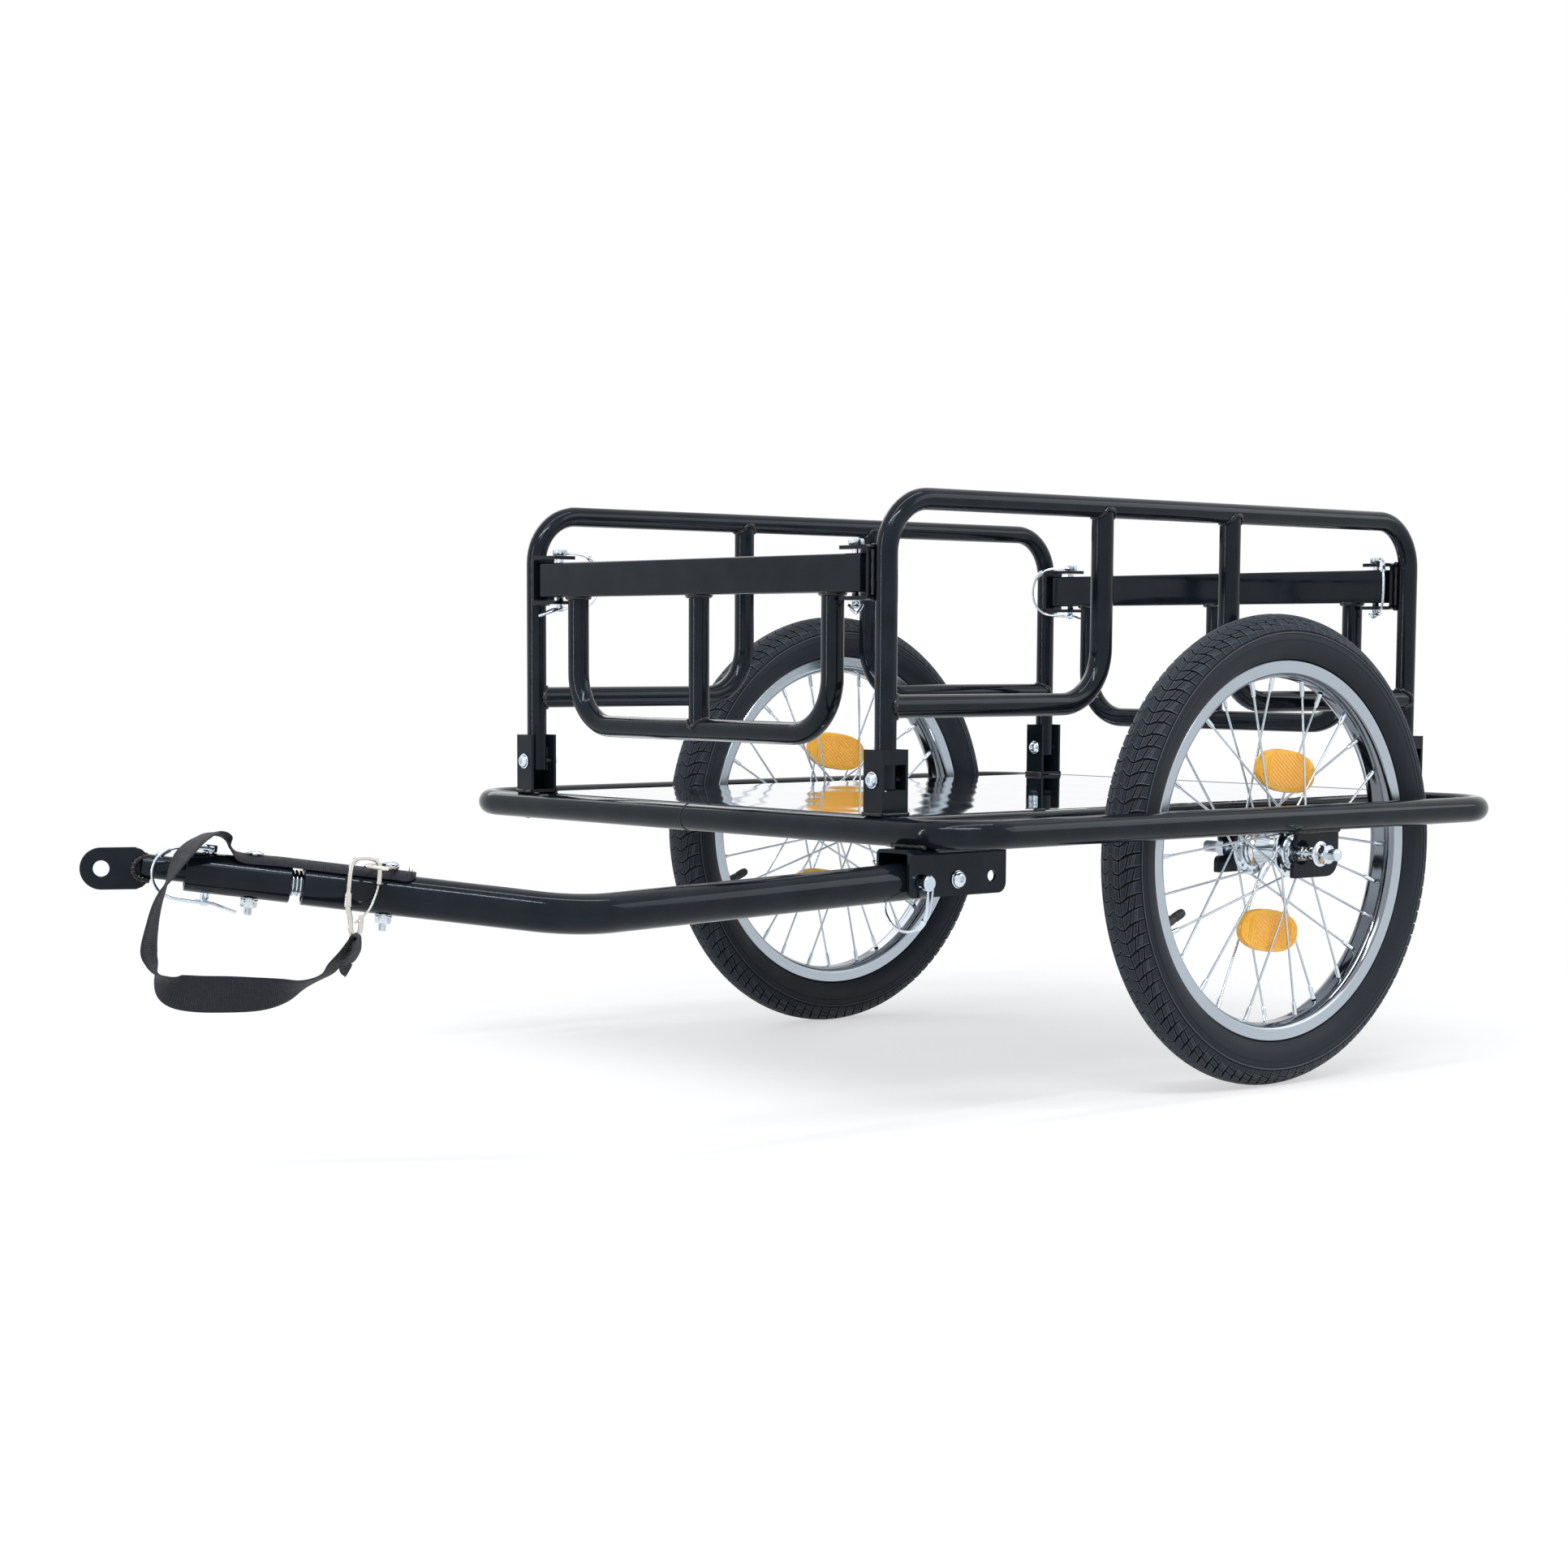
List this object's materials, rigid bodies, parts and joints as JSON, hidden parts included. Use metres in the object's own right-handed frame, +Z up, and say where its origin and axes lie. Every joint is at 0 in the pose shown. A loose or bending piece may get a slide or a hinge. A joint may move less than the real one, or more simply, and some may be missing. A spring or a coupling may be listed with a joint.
{
  "type": "folding bicycle cargo trailer",
  "caption": "Folding bicycle trailer with a flat deck in a tube ring, fold-in side panels, lift-off gates, spoked wheels and a swinging tow arm.",
  "frame": {"origin": "middle of the part on the ground under its bounding box", "axes": "+X forward to the hitch, +Y left, +Z up"},
  "size_m": [1.2826, 0.698, 0.4865],
  "materials": {
    "black_powder_coat": "gloss black powder coat on steel",
    "galvanised_sheet": "bright galvanised sheet",
    "zinc_plate": "bright zinc plating",
    "rim_steel": "satin light grey metal",
    "tyre_rubber": "matt black rubber",
    "tube_rubber": "black butyl rubber",
    "amber_plastic": "clear amber reflector",
    "black_webbing": "woven black webbing",
    "nickel_plate": "nickel plated wire"
  },
  "bodies": {
    "frame": {"arm_bracket": "black_powder_coat", "arm_pivot_bolt": "zinc_plate", "base_ring": "black_powder_coat", "cross_member_front": "black_powder_coat", "cross_member_rear": "black_powder_coat", "deck_sheet": "galvanised_sheet", "front_left_leg_bolt": "zinc_plate", "front_left_leg_bracket": "black_powder_coat", "front_right_leg_bolt": "zinc_plate", "front_right_leg_bracket": "black_powder_coat", "inner_rail_left": "black_powder_coat", "inner_rail_right": "black_powder_coat", "left_axle": "zinc_plate", "left_inner_axle_nut": "zinc_plate", "left_inner_dropout": "black_powder_coat", "left_outer_axle_nut": "zinc_plate", "left_outer_dropout": "black_powder_coat", "rear_left_leg_bolt": "zinc_plate", "rear_left_leg_bracket": "black_powder_coat", "rear_right_leg_bolt": "zinc_plate", "rear_right_leg_bracket": "black_powder_coat", "right_axle": "zinc_plate", "right_inner_axle_nut": "zinc_plate", "right_inner_dropout": "black_powder_coat", "right_outer_axle_nut": "zinc_plate", "right_outer_dropout": "black_powder_coat"},
    "left_panel": {"left_side_panel": "black_powder_coat", "front_left_gate_pin": "zinc_plate", "rear_left_gate_pin": "zinc_plate"},
    "right_panel": {"right_side_panel": "black_powder_coat", "front_right_gate_pin": "zinc_plate", "rear_right_gate_pin": "zinc_plate"},
    "front_gate_body": {"front_gate": "black_powder_coat"},
    "rear_gate_body": {"rear_gate": "black_powder_coat"},
    "left_wheel": {"left_tyre": "tyre_rubber", "left_valve": "tube_rubber", "left_rim": "rim_steel", "left_hub": "zinc_plate", "left_reflector_upper": "amber_plastic", "left_reflector_lower": "amber_plastic"},
    "right_wheel": {"right_tyre": "tyre_rubber", "right_valve": "tube_rubber", "right_rim": "rim_steel", "right_hub": "zinc_plate", "right_reflector_upper": "amber_plastic", "right_reflector_lower": "amber_plastic"},
    "tow_arm_body": {"tow_arm": "black_powder_coat", "arm_lock_pin": "zinc_plate", "arm_strap_bolt": "zinc_plate", "strap_ring": "nickel_plate", "snap_hook": "nickel_plate", "safety_strap": "black_webbing"},
    "hook_gate_body": {"hook_gate": "nickel_plate"},
    "spring_body": {"coupler_spring": "zinc_plate"},
    "coupler_body": {"coupler_sleeve": "black_powder_coat", "sleeve_bolt": "zinc_plate", "hitch_stub": "black_powder_coat", "hitch_pin": "zinc_plate"}
  },
  "joints": [
    {"name": "left_wheel_spin", "type": "hinge", "parent": "frame", "child": "left_wheel", "pos_m": [-0.36934, 0.277, 0.197], "axis": [0, 1, 0], "continuous": true},
    {"name": "right_wheel_spin", "type": "hinge", "parent": "frame", "child": "right_wheel", "pos_m": [-0.36934, -0.277, 0.197], "axis": [0, 1, 0], "continuous": true},
    {"name": "front_gate_off", "type": "slide", "parent": "frame", "child": "front_gate_body", "axis": [1, 0, 0], "range_m": [0, 0.8]},
    {"name": "rear_gate_off", "type": "slide", "parent": "frame", "child": "rear_gate_body", "axis": [-1, 0, 0], "range_m": [0, 0.8]},
    {"name": "left_panel_fold", "type": "hinge", "parent": "frame", "child": "left_panel", "pos_m": [0.02316, 0.2253, 0.2645], "axis": [1, 0, 0], "range_deg": [0, 77]},
    {"name": "right_panel_fold", "type": "hinge", "parent": "frame", "child": "right_panel", "pos_m": [0.02316, -0.2253, 0.2645], "axis": [-1, 0, 0], "range_deg": [0, 77]},
    {"name": "tow_arm_swing", "type": "hinge", "parent": "frame", "child": "tow_arm_body", "pos_m": [0.00446, 0.268, 0.1915], "axis": [0, 1, 0], "range_deg": [0, 100]},
    {"name": "coupler_yaw", "type": "hinge", "parent": "tow_arm_body", "child": "spring_body", "pos_m": [0.51533, 0.18206, 0.20689], "axis": [-0.1185, 0.0604, 0.9911], "range_deg": [-8, 8], "stiffness_Nm_per_rad": 30, "deforming": ["coupler_spring", "safety_strap"]},
    {"name": "coupler_pitch", "type": "hinge", "parent": "spring_body", "child": "coupler_body", "pos_m": [0.51533, 0.18206, 0.20689], "axis": [0.454, 0.891, 0], "range_deg": [-8, 8], "stiffness_Nm_per_rad": 30, "deforming": ["coupler_spring", "safety_strap"]},
    {"name": "hook_gate_open", "type": "hinge", "parent": "tow_arm_body", "child": "hook_gate_body", "pos_m": [0.49049, 0.21581, 0.18522], "axis": [0.454, 0.891, 0], "range_deg": [0, 12], "stiffness_Nm_per_rad": 0.02}
  ],
  "couplings": [
    {"joint": "rear_gate_off", "follows": "front_gate_off", "ratio": 1},
    {"joint": "left_panel_fold", "follows": "front_gate_off", "rad_per_m": 1.6797},
    {"joint": "right_panel_fold", "follows": "front_gate_off", "rad_per_m": 1.6797}
  ]
}
